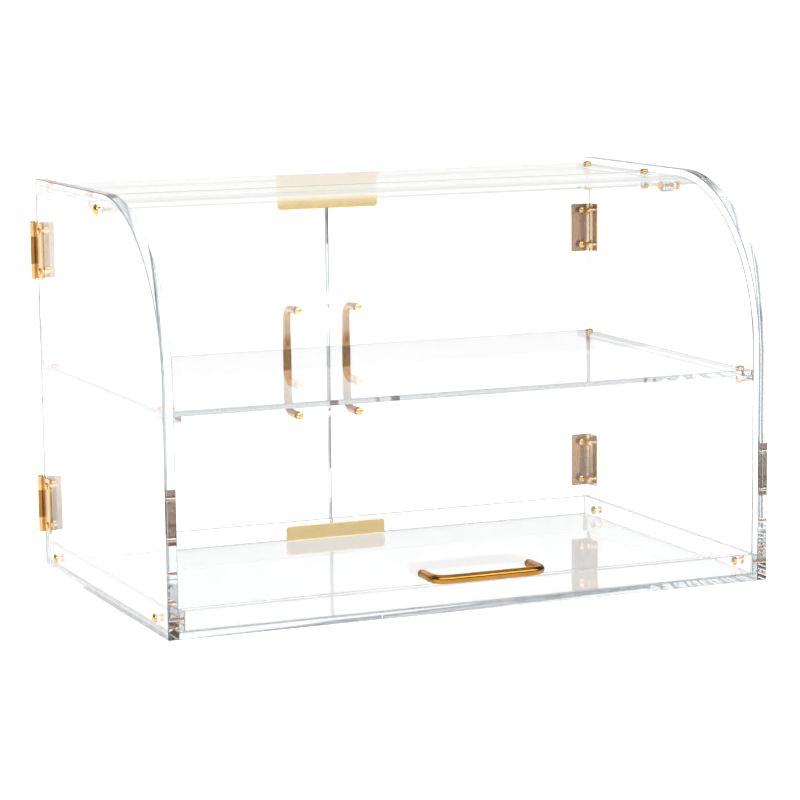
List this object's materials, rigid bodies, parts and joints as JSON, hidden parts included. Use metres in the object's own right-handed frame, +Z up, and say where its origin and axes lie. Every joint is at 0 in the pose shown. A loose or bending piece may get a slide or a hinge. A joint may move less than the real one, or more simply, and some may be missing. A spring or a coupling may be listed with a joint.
{
  "type": "countertop bread display case",
  "caption": "Clear two-tier countertop case with a curved lift-up front flap, a shelf, a shallow tray floor and two hinged rear doors, with brass fittings.",
  "frame": {"origin": "on the counter, under the middle of the case measured with its pulls", "axes": "+Z up, +X along the width to the right as the customer sees it, +Y towards the server and the rear doors, the curved flap faces -Y"},
  "size_m": [0.5698, 0.4048, 0.3555],
  "materials": {
    "clear_acrylic": "cast clear acrylic with polished edges",
    "polished_brass": "polished",
    "satin_brass": "satin"
  },
  "bodies": {
    "case": {"left_side_panel": "clear_acrylic", "right_side_panel": "clear_acrylic", "top_panel": "clear_acrylic", "middle_shelf": "clear_acrylic", "left_top_cleat": "clear_acrylic", "right_top_cleat": "clear_acrylic", "left_shelf_cleat": "clear_acrylic", "right_shelf_cleat": "clear_acrylic", "tray_floor": "clear_acrylic", "tray_left_wall": "clear_acrylic", "tray_right_wall": "clear_acrylic", "tray_front_wall": "clear_acrylic", "tray_rear_wall": "clear_acrylic", "left_pivot_screw": "polished_brass", "right_pivot_screw": "polished_brass", "left_front_top_screw": "polished_brass", "left_rear_top_screw": "polished_brass", "left_front_shelf_screw": "polished_brass", "left_rear_shelf_screw": "polished_brass", "right_front_top_screw": "polished_brass", "right_rear_top_screw": "polished_brass", "right_front_shelf_screw": "polished_brass", "right_rear_shelf_screw": "polished_brass", "left_front_tray_screw": "polished_brass", "left_rear_tray_screw": "polished_brass", "right_front_tray_screw": "polished_brass", "right_rear_tray_screw": "polished_brass", "left_upper_hinge_frame_leaf": "polished_brass", "left_upper_hinge_pin": "polished_brass", "left_lower_hinge_frame_leaf": "polished_brass", "left_lower_hinge_pin": "polished_brass", "right_upper_hinge_frame_leaf": "polished_brass", "right_upper_hinge_pin": "polished_brass", "right_lower_hinge_frame_leaf": "polished_brass", "right_lower_hinge_pin": "polished_brass", "top_catch_plate": "satin_brass", "floor_catch_plate": "satin_brass"},
    "flap": {"front_flap": "clear_acrylic", "left_pivot_block": "clear_acrylic", "right_pivot_block": "clear_acrylic", "front_pull": "polished_brass", "front_pull_left_screw": "polished_brass", "front_pull_right_screw": "polished_brass"},
    "left_door": {"left_rear_door": "clear_acrylic", "left_upper_hinge_door_leaf": "satin_brass", "left_lower_hinge_door_leaf": "satin_brass", "left_rear_pull": "polished_brass", "left_rear_pull_lower_screw": "polished_brass", "left_rear_pull_upper_screw": "polished_brass"},
    "right_door": {"right_rear_door": "clear_acrylic", "right_upper_hinge_door_leaf": "satin_brass", "right_lower_hinge_door_leaf": "satin_brass", "right_rear_pull": "polished_brass", "right_rear_pull_lower_screw": "polished_brass", "right_rear_pull_upper_screw": "polished_brass"}
  },
  "joints": [
    {"name": "flap_lift", "type": "hinge", "parent": "case", "child": "flap", "pos_m": [0, -0.01175, 0.3406], "axis": [-1, 0, 0], "range_deg": [0, 150]},
    {"name": "left_door_swing", "type": "hinge", "parent": "case", "child": "left_door", "pos_m": [-0.28225, 0.1725, 0.17], "axis": [0, 0, 1], "range_deg": [0, 262]},
    {"name": "right_door_swing", "type": "hinge", "parent": "case", "child": "right_door", "pos_m": [0.28225, 0.1725, 0.17], "axis": [0, 0, -1], "range_deg": [0, 262]}
  ]
}
